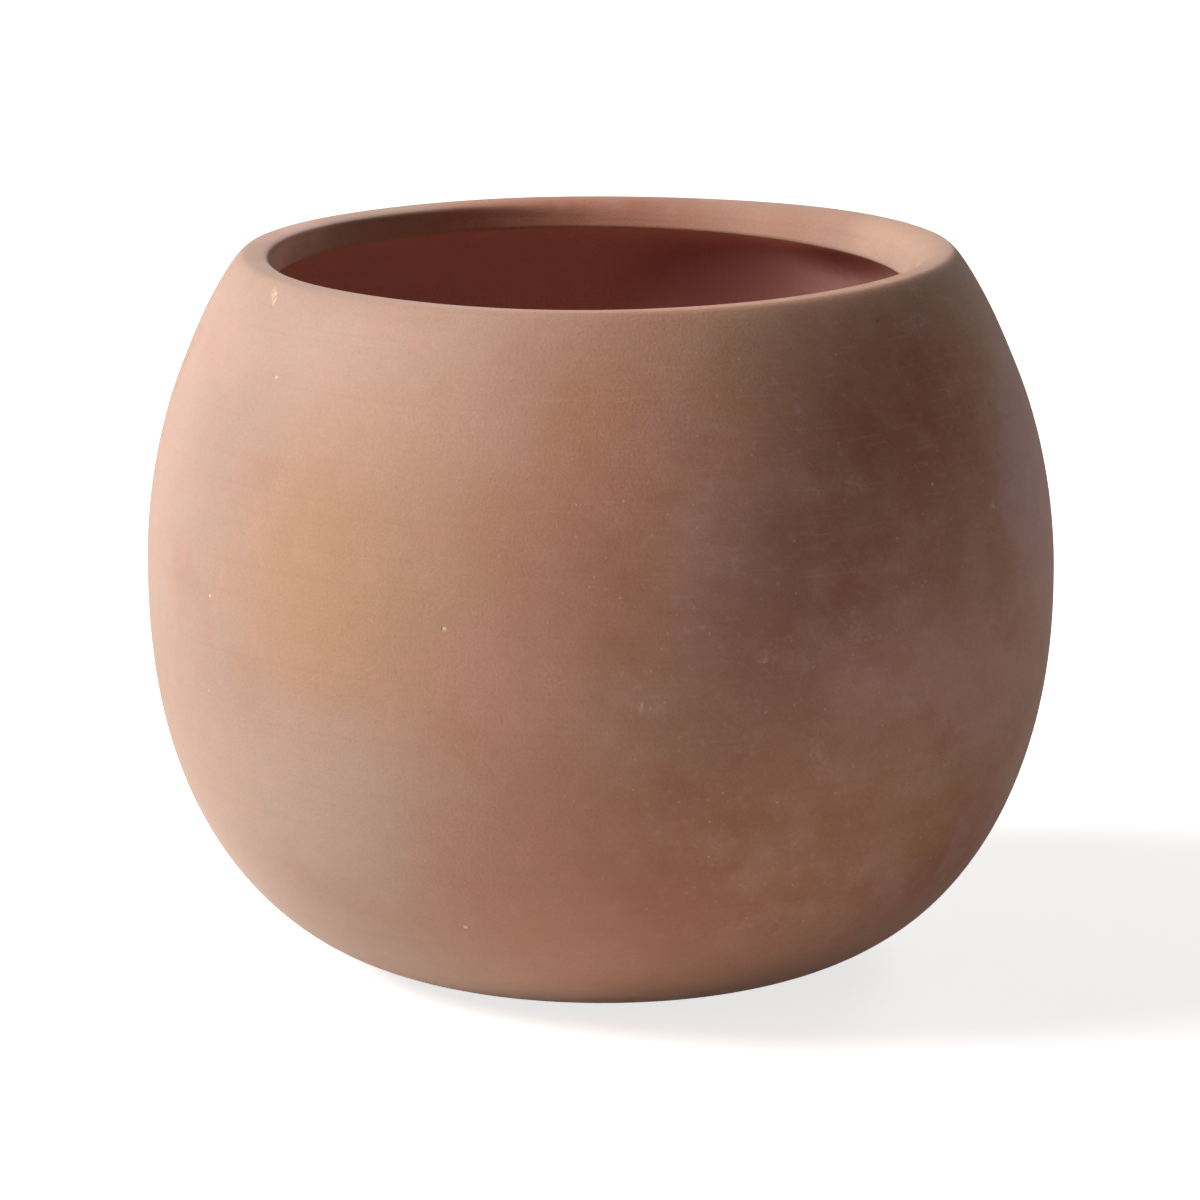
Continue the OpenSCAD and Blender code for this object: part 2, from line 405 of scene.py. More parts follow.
def clay_vessel_points(s, steps):
    """The vessel's grid of points and its attributes.

    Each point of the outline goes round the axis. Round the mouth the outline passes from a crisp inner
    edge on the left to a worn one on the right. The wall leans, the lip sits further aside and sways by
    the cosine and sine of the angle, the shoulder ripples under the lip, and soft dents push the walls
    in and out along their own normal. Numbers beside the station are stations of vessel_outline.
    """
    crisp, soft = vessel_outline(s, s.crisp_round), vessel_outline(s, s.soft_round)
    outline = np.column_stack([crisp, soft[:, :2]])
    station = outline[:, 2]
    near_edge = np.maximum(ease(1.86, 2.0, station) * ease(6.2, 5.9, station), ease(7.95, 8.02, station))
    outline = respace(outline, COARSE_SPACING + (FINE_SPACING - COARSE_SPACING) * near_edge)[:-1]
    crisp_r, crisp_z, station, soft_r, soft_z = outline.T[:, :, None]
    angle = np.linspace(0, 2 * np.pi, steps, endpoint=False)[None, :]
    worn_side = ease(0.1, 0.95, np.cos(angle - WORN_AT))
    r = crisp_r + (soft_r - crisp_r) * worn_side
    z = crisp_z + (soft_z - crisp_z) * worn_side

    # The outline's own outward normal, for dents that push straight in and out
    along = (np.roll(outline, -1, axis=0) - np.roll(outline, 1, axis=0))[:, :2]
    along /= np.linalg.norm(along, axis=1)[:, None]
    normal_r, normal_z = along[:, 1][:, None], -along[:, 0][:, None]
    ripple = -RIPPLE_DEPTH * np.exp(-((z - RIPPLE_HEIGHT) / RIPPLE_WIDTH) ** 2) * ease(2.1, 1.95, station)
    off_floor = ease(DENTS_FROM, DENTS_WHOLE, z) * ease(9.0, 7.9, station)
    push = ripple + s.dent * soft_dents(angle, z, DENT_SEED) * off_floor
    radius = r + push * normal_r
    height = z + push * normal_z

    # How much of the lip's own shifts a height has, and how far down the inner face it lies
    at_lip = ease(s.height - LIP_REACH, s.height, z)
    inner_side = ease(3.0, 3.5, station) * ease(7.2, 5.6, station)
    depth = np.clip((s.height - z) / s.lip_drop, 0, 1) * inner_side * at_lip
    aside = s.lean * z / s.height + (s.lip_shift + INNER_SHIFT * inner_side) * at_lip + s.mouth_shift * depth
    saddle = s.saddle * np.cos(2 * angle) * (1 - depth)
    lifted = s.lift * np.exp(LIFT_FALL * (np.cos(angle - LIFTED_AT) - 1))
    sway = s.side_tilt * np.cos(angle) + s.back_tilt * np.sin(angle) + saddle + lifted

    pressed = np.exp(PRESS_FALL * (np.cos(angle) - 1))
    radius = radius + s.mouth_spread * pressed * depth
    x = radius * np.cos(angle) - aside
    y = radius * np.sin(angle) + s.mouth_back * depth
    sink = (s.mouth_sink + s.spread_sink * pressed) * depth
    points = np.stack([x, y, height + sway * at_lip - sink], axis=-1)

    # How far the clay is that of the inner wall and floor, and how far that of the worn crest
    hollow = np.broadcast_to(ease(4.8, 5.6, station) * ease(8.9, 8.2, station), x.shape)
    worn = np.broadcast_to(np.exp(-((station - 3.05) / 0.45) ** 2), x.shape)
    return points, {"hollow": hollow, "worn": worn}


# Materials

def add(tree, kind, inputs=None, **settings):
    """Adds one node with its settings.

    An input that is a socket gets linked, one that is a node gets its first output, any other is set.
    """
    node = tree.nodes.new("ShaderNode" + kind)
    for key, value in settings.items():
        setattr(node, key, value)
    for key, value in (inputs or {}).items():
        if isinstance(value, bpy.types.Node):
            value = value.outputs[0]
        if isinstance(value, bpy.types.NodeSocket):
            tree.links.new(value, node.inputs[key])
        else:
            node.inputs[key].default_value = value
    return node


def new_material(name):
    """A new material, and its tree, which has no nodes yet."""
    material = bpy.data.materials.new(name)
    material.use_nodes = True
    material.node_tree.nodes.clear()
    return material, material.node_tree


class Patch(NamedTuple):
    """A soft oval in the clay that fired or weathered to another colour.

    centre and reach: its middle and its half widths, in millimetres, turn: how far it leans about the
    Y axis, in degrees, and strength: how much of the colour its middle takes.
    """

    colour: str
    centre: tuple
    reach: tuple
    turn: float
    strength: float


class Area(NamedTuple):
    """A patch with its middle on the outer wall, so that only two numbers say where it lies.

    aside: how far right of the axis, height: how far above the floor, half_width and half_height: its
    reach that way and up, all in millimetres. behind: true where it is on the far wall.
    """

    colour: str
    aside: float
    height: float
    half_width: float
    half_height: float
    turn: float
    strength: float
    behind: bool = False


# How far an area and a mark reach through the wall, in millimetres
AREA_DEPTH, MARK_DEPTH = 90, 15

# How much of the radius of an area, a mark and a dot is whole, and how much of the outer wall's tone the
# inner wall still has
AREA_CORE, MARK_CORE, DOT_CORE, TONE_INSIDE = 0.15, 0.3, 0.6, 0.4

# The middle of the pot, and directions from it
POT_MIDDLE = (0, 0, 160 * MM)
RIGHT_FRONT, RIGHT_TOP, LEFT_BACK = (0.62, -0.78, 0.05), (0.5, -0.55, 0.67), (-0.43, 0.90, 0.04)

# How far to the left and back, in millimetres, the paler side starts and is whole, and its strength.
# On the lamp-lit left side this paler clay is a painted highlight
PALE_HIGHLIGHT_FROM, PALE_HIGHLIGHT_TO, PALE_HIGHLIGHT_STRENGTH = -165, -50, 0.9

# Wide soft areas, laid one over the other. Some are painted light: the haze areas on the left and the
# cream ones high on the shoulder are painted highlight, the deep one high on the right a painted shade,
# and the mauve one at the right edge a painted sheen
CLAY_AREAS = [Area(*row) for row in (
    ("ochre", -105, 200, 115, 135, -10, 0.9),
    ("cream_and_highlight", -80, 290, 110, 70, -10, 0.6),
    ("pale_highlight", -112, 108, 75, 65, 40, 0.55),
    ("haze_highlight", -110, 110, 70, 70, 30, 0.3),
    ("haze_highlight", -190, 225, 35, 150, 15, 0.3),
    ("haze_highlight", -105, 300, 85, 30, 0, 0.45),
    ("haze_highlight", -165, 285, 40, 30, 0, 0.3),
    ("cream_and_highlight", 30, 300, 85, 22, 0, 0.35),
    ("rose", -35, 165, 50, 45, 0, 0.4),
    ("pale_highlight", 35, 148, 55, 50, 0, 0.3),
    ("rose", 160, 148, 75, 50, 5, 0.95),
    ("smoke", 92, 220, 80, 115, 20, 0.85),
    ("smoke", 158, 215, 45, 60, 0, 0.45),
    # Painted shade: the upper right shoulder darkened where it turns from the lamp
    ("deep_and_shade", 135, 272, 65, 55, 10, 0.8),
    ("rose", 120, 168, 48, 38, 10, 0.7),
    ("deep_and_shade", 112, 214, 40, 15, -25, 0.45),
    ("deep_and_shade", 55, 82, 85, 70, 10, 0.45),
    ("deep_and_shade", 145, 66, 65, 48, 0, 0.7),
    ("olive", 65, 85, 55, 45, 0, 0.35),
    ("olive", 135, 100, 35, 50, -5, 0.55),
    ("olive", 0, 275, 30, 55, 0, 0.5),
    ("deep_and_shade", 8, 215, 28, 80, -5, 0.3),
    ("apricot", 25, 260, 60, 105, 5, 0.6),
    ("mauve_and_edge_sheen", 45, 215, 38, 60, 0, 0.25),
    ("mauve_and_edge_sheen", 28, 268, 22, 25, 0, 0.3),
    ("ochre", 65, 295, 50, 30, 0, 0.35),
    # Painted sheen: a pale violet band down the right edge
    ("mauve_and_edge_sheen", 185, 235, 26, 105, -5, 0.85),
    ("apricot", 20, 255, 120, 75, 10, 0.4, True),
    ("ochre", 90, 150, 110, 90, 25, 0.6, True),
    ("smoke", -60, 205, 80, 70, -20, 0.45, True),
    ("rose", -120, 90, 90, 60, 15, 0.45, True),
)]

# Areas of the lip, which lie inside the line of the outer wall, and two at the right of the wall. The
# cream one on the right inner face is a painted highlight, and the bloom one on the left inner face a
# painted tint of the shade there
CLAY_PATCHES = [Patch(*row) for row in (
    ("body", (-20, 138, 310), (95, 32, 18), 0, 0.9),
    ("deep_and_shade", (-30, 136, 310), (85, 30, 16), 0, 0.5),
    # Painted highlight: the lit right inner face of the lip drawn pale
    ("cream_and_highlight", (128, 40, 311), (60, 120, 22), 0, 1),
    ("apricot", (70, 124, 309), (75, 60, 20), 0, 0.4),
    ("deep_and_shade", (10, 160, 318), (130, 30, 15), 0, 0.8),
    ("deep_and_shade", (40, 134, 309), (50, 40, 16), 0, 0.25),
    # Painted shade tint: the left inner face of the lip paled where it lies in shade
    ("bloom_and_shade_tint", (-134, 40, 314), (28, 85, 11), 0, 0.6),
    ("body", (185, 92, 175), (85, 105, 150), 0, 0.75),
    ("deep_and_shade", (170, 60, 80), (60, 100, 70), 0, 0.4),
)]

# Chips, knocks and wipes that lie alone, each 2 to 34 mm wide
CLAY_MARKS = [Area(*row) for row in (
    ("chip", 165, 222, 2.6, 2, 20, 0.75),
    ("chalk", 134, 246, 5, 1.1, 32, 0.35),
    ("chalk", 141, 240, 4, 1, 25, 0.3),
    ("bloom_and_shade_tint", 104, 242, 9, 8, 20, 0.28),
    ("bloom_and_shade_tint", 81, 273, 5, 2.2, 48, 0.35),
    ("bloom_and_shade_tint", 20, 157, 14, 9, 0, 0.2),
    ("chip", 16, 157, 1.2, 2.6, 12, 0.55),
    ("bloom_and_shade_tint", 90, 128, 7, 14, -18, 0.26),
    ("chalk", 86, 131, 1.5, 2, 0, 0.45),
    ("bloom_and_shade_tint", 133, 300, 17, 5, -8, 0.32),
    ("soot", 115, 303, 1.5, 1.5, 0, 0.45),
    ("chip", -139, 308, 1.7, 4.6, -12, 1),
    ("chip", -137, 279, 1.2, 1, 30, 0.75),
    ("bloom_and_shade_tint", 66, 176, 4, 4, 0, 0.35),
    ("bloom_and_shade_tint", 104, 186, 6, 10, 0, 0.28),
    ("bloom_and_shade_tint", 137, 175, 12, 5, 30, 0.2),
    ("chalk", 33, 218, 1.4, 1.4, 0, 0.45),
    ("chalk", 41, 190, 1.6, 1.6, 0, 0.4),
    ("bloom_and_shade_tint", 46, 251, 3, 13, 22, 0.26),
    ("bloom_and_shade_tint", 54, 217, 4, 10, 4, 0.26),
    ("bloom_and_shade_tint", 94, 205, 14, 9, 20, 0.35, True),
    ("chip", -70, 240, 1.6, 2.4, 15, 0.7, True),
)]

# Painted shadow: the inner wall darkened below the lip, at the back and on the right, where the lip's shade
# falls
INNER_SHADOW_PATCHES = (
    Patch("inner_shadow", (55, 152, 274), (78, 60, 36), 0, 0.62),
    Patch("inner_shadow", (112, 108, 292), (40, 50, 14), 0, 0.8),
)


class Cloud(NamedTuple):
    """A soft pattern that lays one colour over the clay.

    size: the pattern along its own three axes, in millimetres, and turn: how these lie, in degrees.
    low, high: the noise that gives none and all of the colour, and strength: how much all is.
    side: where on the pot it lies, as a direction from the middle of the pot, and near, far: how far
    that way the pattern starts and is whole, in millimetres.
    """

    colour: str
    size: tuple
    turn: tuple
    detail: float
    low: float
    high: float
    strength: float
    side: tuple = (0, 0, 1)
    near: float = -1000
    far: float = -999


# Mottling, the lines of wiping, brush marks and scuffs
CLAY_CLOUDS = [Cloud(*row) for row in (
    ("deep_and_shade", (60, 60, 45), (0, 0, 0), 3, 0.5, 0.72, 0.16),
    ("cream_and_highlight", (52, 52, 38), (20, 0, 30), 3, 0.5, 0.72, 0.14),
    ("ochre", (13, 13, 10), (0, 0, 10), 2, 0.5, 0.7, 0.16),
    ("rose", (11, 11, 15), (0, 30, 0), 2, 0.5, 0.7, 0.16),
    ("bloom_and_shade_tint", (34, 34, 26), (0, 20, 10), 8, 0.44, 0.74, 0.23, RIGHT_FRONT, 125, 172),
    ("deep_and_shade", (24, 24, 18), (0, 20, 10), 8, 0.46, 0.74, 0.24, RIGHT_FRONT, 125, 172),
    ("bloom_and_shade_tint", (40, 40, 30), (0, 0, 40), 6, 0.52, 0.72, 0.2, LEFT_BACK, 120, 185),
    ("deep_and_shade", (230, 230, 2.6), (0, 0, 0), 2, 0.5, 0.7, 0.05),
    ("chalk", (11, 1.4, 1.4), (0, 50, 20), 3, 0.57, 0.8, 0.2, RIGHT_FRONT, 130, 175),
    ("chalk", (20, 20, 1.3), (0, 0, 0), 3, 0.56, 0.76, 0.18, RIGHT_TOP, 100, 190),
    ("chalk", (3, 3, 3), (0, 0, 0), 4, 0.55, 0.8, 0.24, RIGHT_FRONT, 125, 175),
)]


class Speck(NamedTuple):
    """Scattered dots: how far apart they may lie and how wide they are, in millimetres.

    share: how many of the places hold one, strength: how much of the colour it has, depth: how deep it
    lies, in millimetres, and near, far: where it starts and is whole towards the right and front.
    """

    colour: str
    spacing: float
    width: float
    share: float
    strength: float
    depth: float
    near: float = -1000
    far: float = -999


CLAY_SPECKS = (
    Speck("soot", 3.6, 0.7, 0.3, 0.25, 0.03),
    Speck("chalk", 6, 1.3, 0.45, 0.5, 0, 110, 170),
    Speck("chip", 34, 2.6, 0.35, 0.7, 0.3),
)


def lay_stain(tree, tone, over, *shares):
    """Lays a colour over a tone by the product of the shares that cover it."""
    share = shares[0]
    for other in shares[1:]:
        share = add(tree, "Math", {0: share, 1: other}, operation="MULTIPLY")
    return add(tree, "Mix", {0: share, MIX_A: tone, MIX_B: over}, data_type="RGBA").outputs[MIX_OUT]


def soft_pattern(tree, place, size, detail, low=0, high=1, low_value=0, high_value=1, turn=(0, 0, 0)):
    """Noise whose soft spots are as wide as size, in millimetres, passed through a smooth step."""
    mapped = add(tree, "Mapping", {
        "Vector": place, "Rotation": [math.radians(t) for t in turn], "Scale": [x * MM for x in size],
    }, vector_type="TEXTURE")
    noise = add(tree, "TexNoise", {"Vector": mapped, "Scale": 1, "Detail": detail, "Roughness": 0.55})
    return add(tree, "MapRange", {
        "Value": noise, "From Min": low, "From Max": high, "To Min": low_value, "To Max": high_value,
    }, interpolation_type="SMOOTHSTEP")


def on_side(tree, place, side, near, far, top=1):
    """0 to top with the distance from the middle of the pot towards a side, in millimetres."""
    from_middle = add(tree, "VectorMath", {0: place, 1: POT_MIDDLE}, operation="SUBTRACT")
    reach = add(tree, "VectorMath", {0: from_middle, 1: side}, operation="DOT_PRODUCT")
    return add(tree, "MapRange", {
        "Value": reach.outputs["Value"], "From Min": near * MM, "From Max": far * MM, "To Max": top,
    }, interpolation_type="SMOOTHSTEP")


def in_oval(tree, place, patch, core):
    """The patch's strength inside core of its oval, and 0 from the oval's edge on."""
    oval = add(tree, "Mapping", {
        "Vector": place, "Location": [x * MM for x in patch.centre],
        "Rotation": (0, math.radians(patch.turn), 0), "Scale": [x * MM for x in patch.reach],
    }, vector_type="TEXTURE")
    from_middle = add(tree, "VectorMath", {0: oval}, operation="LENGTH")
    return add(tree, "MapRange", {
        "Value": from_middle.outputs["Value"], "From Min": 1, "From Max": core, "To Max": patch.strength,
    }, interpolation_type="SMOOTHSTEP")


def on_wall(area, outline, depth):
    """The patch of an area: where the wall has radius R, y = -sqrt(R^2 - x^2), or plus it behind."""
    outside = outline[outline[:, 2] <= 3]
    radius = np.interp(area.height * MM, outside[:, 1], outside[:, 0]) / MM
    forward = math.sqrt(max(radius ** 2 - area.aside ** 2, 0))
    return Patch(
        area.colour, (area.aside, forward if area.behind else -forward, area.height),
        (area.half_width, depth, area.half_height), area.turn, area.strength,
    )


def drifted(tree, place, size, reach):
    """The place, moved by a soft noise of the given size by up to half the reach, in millimetres."""
    noise = add(tree, "TexNoise", {"Vector": place, "Scale": 1 / (size * MM), "Detail": 3})
    drift = add(tree, "VectorMath", {0: noise.outputs["Color"], 1: (0.5,) * 3}, operation="SUBTRACT")
    return add(tree, "VectorMath", {0: drift, 1: (reach * MM,) * 3, 2: place}, operation="MULTIPLY_ADD")


def terracotta(c, outline):
    """Unglazed red earthenware, turned, sponged and fired.

    Fired iron clay gives the orange brown. It is open and dry, so it has hardly any gloss and a
    powdery haze at a slant. The flame and the weather leave wide soft areas of other tones, and faint
    mottling, wipe marks, dry scuffs, grains and small chips lie over them, each at its real size. Some
    areas are painted light: paler clay on the left side and high on the shoulder is painted highlight,
    a violet band at the right edge painted sheen, and darker clay high on the right and on the inner
    wall painted shade. Only the grain, 0.3 mm in such clay, is drawn coarser so that it shows: 1.1 mm
    in tone, 1.3 mm in relief.
    """
    material, tree = new_material("unglazed terracotta")
    place = add(tree, "TexCoord").outputs["Object"]

    # Two drifts, a wide and a fine one, fray the edges of the areas, and the fine one those of marks
    nicked = drifted(tree, place, size=5, reach=4)
    frayed = drifted(tree, nicked, size=60, reach=44)
    # Painted highlight: the clay turns paler round the left and back, fading out towards the front right
    pale_highlight = on_side(tree, frayed, LEFT_BACK, PALE_HIGHLIGHT_FROM, PALE_HIGHLIGHT_TO, PALE_HIGHLIGHT_STRENGTH)
    tone = lay_stain(tree, c.body, c.pale_highlight, pale_highlight)
    areas = [on_wall(area, outline, AREA_DEPTH) for area in CLAY_AREAS]
    for patch in (*areas, *CLAY_PATCHES):
        tone = lay_stain(tree, tone, getattr(c, patch.colour), in_oval(tree, frayed, patch, AREA_CORE))
    broken = soft_pattern(tree, place, (2.4, 2.4, 2.4), detail=4, low=0.38, high=0.64, low_value=0.15)
    for mark in CLAY_MARKS:
        spot = in_oval(tree, nicked, on_wall(mark, outline, MARK_DEPTH), MARK_CORE)
        tone = lay_stain(tree, tone, getattr(c, mark.colour), spot, broken)
    for cloud in CLAY_CLOUDS:
        tone = lay_stain(
            tree, tone, getattr(c, cloud.colour),
            soft_pattern(tree, place, cloud.size, cloud.detail, cloud.low, cloud.high, turn=cloud.turn),
            on_side(tree, place, cloud.side, cloud.near, cloud.far, cloud.strength),
        )

    # Relief in metres: the open grain and the fine lines of turning
    grain = soft_pattern(tree, place, (1.3, 1.3, 1.3), detail=4, high_value=0.12 * MM)
    turning = soft_pattern(tree, place, (160, 160, 1.7), detail=2, high_value=0.06 * MM)
    relief = add(tree, "Math", {0: grain, 1: turning}, operation="ADD")
    for speck in CLAY_SPECKS:
        cells = add(tree, "TexVoronoi", {"Vector": place, "Scale": 1 / (speck.spacing * MM)})
        reach = speck.width / 2 / speck.spacing
        dot = add(tree, "MapRange", {
            "Value": cells.outputs["Distance"], "From Min": reach, "From Max": reach * DOT_CORE,
        }, interpolation_type="SMOOTHSTEP")
        drawn = add(tree, "SeparateColor", {0: cells.outputs["Color"]})
        chosen = add(tree, "Math", {0: drawn, 1: speck.share}, operation="LESS_THAN")
        there = on_side(tree, place, RIGHT_FRONT, speck.near, speck.far, speck.strength)
        tone = lay_stain(tree, tone, getattr(c, speck.colour), dot, chosen, there)
        pit = add(tree, "Math", {0: dot, 1: chosen}, operation="MULTIPLY")
        relief = add(tree, "Math", {0: pit, 1: -speck.depth * MM, 2: relief}, operation="MULTIPLY_ADD")

    worn = add(tree, "Attribute", attribute_name="worn").outputs["Fac"]
    rubbed = soft_pattern(tree, place, (14, 14, 9), detail=4, low=0.35, high=0.7, high_value=0.12)
    tone = lay_stain(tree, tone, c.cream_and_highlight, worn, rubbed)
    hollow = add(tree, "Attribute", attribute_name="hollow").outputs["Fac"]
    inner_tone = lay_stain(tree, c.inside, tone, TONE_INSIDE)
    # Painted shadow on the inner wall below the lip, at the back and on the right
    for patch in INNER_SHADOW_PATCHES:
        shadowed = in_oval(tree, nicked, patch, AREA_CORE)
        inner_tone = lay_stain(tree, inner_tone, getattr(c, patch.colour), shadowed)
    tone = lay_stain(tree, tone, inner_tone, hollow)
    # The lowest 5 mm turn darker towards the floor, with the soot colour
    height = add(tree, "SeparateXYZ", {0: place}).outputs["Z"]
    darker_at_foot = add(tree, "MapRange", {
        "Value": height, "From Min": 5 * MM, "From Max": 0.5 * MM, "To Max": 0.35,
    }, interpolation_type="SMOOTHSTEP")
    tone = lay_stain(tree, tone, c.soot, darker_at_foot)

    shade = soft_pattern(
        tree, place, (1.1, 1.1, 1.1), detail=3, low=0.3, high=0.7, low_value=0.96, high_value=1.04
    )
    tone = add(tree, "VectorMath", {0: tone, "Scale": shade}, operation="SCALE")
    bump = add(tree, "Bump", {"Height": relief, "Distance": 1.0, "Strength": 1.0})
    shader = add(tree, "BsdfPrincipled", {
        "Base Color": tone, "Roughness": 0.92, "Diffuse Roughness": 0.35, "Specular IOR Level": 0.3,
        "Sheen Weight": 0.35, "Sheen Roughness": 0.45, "Sheen Tint": c.sheen,
        "Normal": bump,
    })
    add(tree, "OutputMaterial", {"Surface": shader})
    return material


def moulded(name, shade, dust, spots, dusty, most, grain, relief, rough, ior):
    """A moulded surface with dust in soft spots and a fine relief, with sizes in millimetres.

    spots and grain: the size and detail of their noises, dusty: the noise that gives no dust and the
    most, relief: how deep the grain is, and rough: the roughness where the spots' noise is 0 and 1.
    """
    material, tree = new_material(name)
    place = add(tree, "TexCoord").outputs["Object"]
    cloud, fine = (
        add(tree, "TexNoise", {"Vector": place, "Scale": 1 / (size * MM), "Detail": detail})
        for size, detail in (spots, grain)
    )
    share = add(tree, "MapRange", {
        "Value": cloud, "From Min": dusty[0], "From Max": dusty[1], "To Max": most,
    })
    roughness = add(tree, "MapRange", {
        "Value": cloud, "To Min": rough[0], "To Max": rough[1],
    })
    bump = add(tree, "Bump", {"Height": fine, "Distance": relief * MM})
    shader = add(tree, "BsdfPrincipled", {
        "Base Color": lay_stain(tree, shade, linear(dust), share),
        "Roughness": roughness, "IOR": ior, "Normal": bump,
    })
    add(tree, "OutputMaterial", {"Surface": shader})
    return material


def moulded_plastic(plastic):
    """Injection-moulded polyethylene: dark, waxy and slightly mottled, with a soft wide gloss."""
    return moulded(
        "moulded polyethylene", plastic, dust="#7A6154", spots=(9, 4), dusty=(0.5, 0.8), most=0.25,
        grain=(0.4, 2), relief=0.03, rough=(0.42, 0.62), ior=1.51,
    )


def soft_rubber(rubber):
    """Moulded natural rubber: grey, matte and a little dusty, with fine pores."""
    return moulded(
        "moulded rubber", rubber, dust="#8C7264", spots=(12, 5), dusty=(0.45, 0.75), most=0.4,
        grain=(0.6, 3), relief=0.05, rough=(0.8, 0.8), ior=1.52,
    )


def seen_rays(tree):
    """1 for the rays that look at a thing or its mirror image, 0 for those that carry light to it."""
    rays = add(tree, "LightPath").outputs
    seen = rays["Is Camera Ray"]
    for name in ("Is Glossy Ray", "Is Transmission Ray"):
        seen = add(tree, "Math", {0: seen, 1: rays[name]}, operation="MAXIMUM")
    return seen


def pale_floor(shade):
    """Matt white paper, overexposed as in a light tent: near the pot it still shows the shadow."""
    material, tree = new_material("white paper floor")
    seen = seen_rays(tree)
    diffuse = add(tree, "BsdfDiffuse", {"Color": shade})
    place = add(tree, "TexCoord").outputs["Object"]
    away = add(tree, "VectorMath", {0: place}, operation="LENGTH").outputs["Value"]
    fade = add(tree, "MapRange", {
        "Value": away, "From Min": 240 * MM, "From Max": 900 * MM, "To Min": 0.76,
    }, interpolation_type="SMOOTHSTEP")
    lifted = add(tree, "Emission", {"Color": (1, 1, 1, 1), "Strength": fade})
    both = add(tree, "AddShader", {0: diffuse, 1: lifted})
    surface = add(tree, "MixShader", {0: seen, 1: diffuse, 2: both})
    add(tree, "OutputMaterial", {"Surface": surface})
    return material


# The operators, one for each piece and one for the stage

class FLOWER_POT_OT_turn_vessel(bpy.types.Operator):
    """Turn the clay vessel with its lip, foot and drain hole"""

    bl_idname = "flower_pot.turn_vessel"
    bl_label = "Turn Clay Vessel"

    def execute(self, context):
        sizes = context.scene.vessel_sizes
        steps = 360
        points, attributes = clay_vessel_points(sizes, steps)
        faces = grid_faces(points.shape[0], steps, True, True)
        clay = terracotta(context.scene.clay_colours, vessel_outline(sizes, sizes.crisp_round))
        vessel = make_piece("clay_vessel", [(points, faces)], clay, attributes)
        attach(vessel, "pot")
        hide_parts("pot_shell")
        return {"FINISHED"}


# From one ring of points on a strand to the next, and how much and how far its crossings widen it
STRAND_SPACING, CROSSING_SWELL, CROSSING_REACH = 0.45 * MM, 0.35, 0.9 * MM

# How high a strand is beside the rim, and the power of the rim's section, lower being squarer
STRAND_SHARE, RIM_POWER = 0.8, 0.5


def strand(start, end, half_width, half_height, crossings, sides=8):
    """A straight moulded strand: a rounded section that widens a little at each crossing.

    Its section is the superellipse |x|^3 + |y|^3 = 1, and its width grows by a Gaussian of the
    distance to the nearest crossing.
    """
    start, end = np.array(start), np.array(end)
    span = np.linalg.norm(end - start)
    along = (end - start) / span
    across = np.array([-along[1], along[0], 0])
    reach = np.linspace(0, span, int(span / STRAND_SPACING) + 2)
    gap = np.abs(reach[:, None] - crossings[None, :]).min(axis=1)
    swell = 1 + CROSSING_SWELL * np.exp(-(gap / CROSSING_REACH) ** 2)
    angle = np.linspace(0, 2 * np.pi, sides, endpoint=False) + np.pi / sides
    round_x, round_z = squared(np.cos(angle), 2 / 3), squared(np.sin(angle), 2 / 3)
    points = (
        start + reach[:, None, None] * along
        + (half_width * swell)[:, None, None] * round_x[None, :, None] * across
        + half_height * round_z[None, :, None] * np.array([0, 0, 1])
    )
    return points, grid_faces(len(reach), sides, False, True)


class FLOWER_POT_OT_mould_screen(bpy.types.Operator):
    """Mould the mesh screen that lies over the drain hole"""

    bl_idname = "flower_pot.mould_screen"
    bl_label = "Mould Drain Screen"

    def execute(self, context):
        s = context.scene.screen_sizes
        low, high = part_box("drain_screen")
        middle_z = (low.z + high.z) / 2
        outer, inner = s.width / 2, s.width / 2 - s.rim
        half = s.thickness / 2
        angle = np.linspace(0, 2 * np.pi, 20, endpoint=False)
        section = np.stack([
            (outer + inner) / 2 + (outer - inner) / 2 * squared(np.cos(angle), RIM_POWER),
            middle_z + half * squared(np.sin(angle), RIM_POWER),
        ], axis=1)
        parts = [turned(section, 128)]
        reach = int((inner - s.strand / 2) / s.pitch)
        places = np.arange(-reach, reach + 1) * s.pitch
        for offset in places:
            half_span = math.sqrt((inner + s.rim / 2) ** 2 - offset ** 2)
            for start, end in (
                ((-half_span, offset, middle_z), (half_span, offset, middle_z)),
                ((offset, -half_span, middle_z), (offset, half_span, middle_z)),
            ):
                parts.append(strand(start, end, s.strand / 2, half * STRAND_SHARE, places + half_span))
        screen = make_piece("mesh_screen", parts, moulded_plastic(s.plastic))
        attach(screen, "screen")
        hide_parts("drain_screen")
        return {"FINISHED"}


# The dish under the plug's head: how deep it is, and where its side begins, bends and ends, as shares
# of the head's radius
DISH_DEPTH, DISH_FLOOR, DISH_BEND, DISH_END = 0.4 * MM, 0.55, 0.62, 0.7

# The rounding of the head's edge, how near to the axis the outline ends, and the ribs' power
HEAD_EDGE, AXIS_GAP, RIB_POWER = 1 * MM, 0.01 * MM, 0.7

# How far the tab goes in under the head, and the powers that square it in plan, at its edge and above
TAB_ROOT, TAB_PLAN, TAB_EDGE, TAB_FACE = 8 * MM, 0.6, 0.4, 0.5

# The grip ridges: from one to the next, where they start past the head, and how far they reach aside
RIDGE_PITCH, RIDGES_FROM, RIDGES_WHOLE = 2.4 * MM, 1 * MM, 2 * MM
RIDGE_REACH, RIDGE_FLAT = 7 * MM, 5 * MM


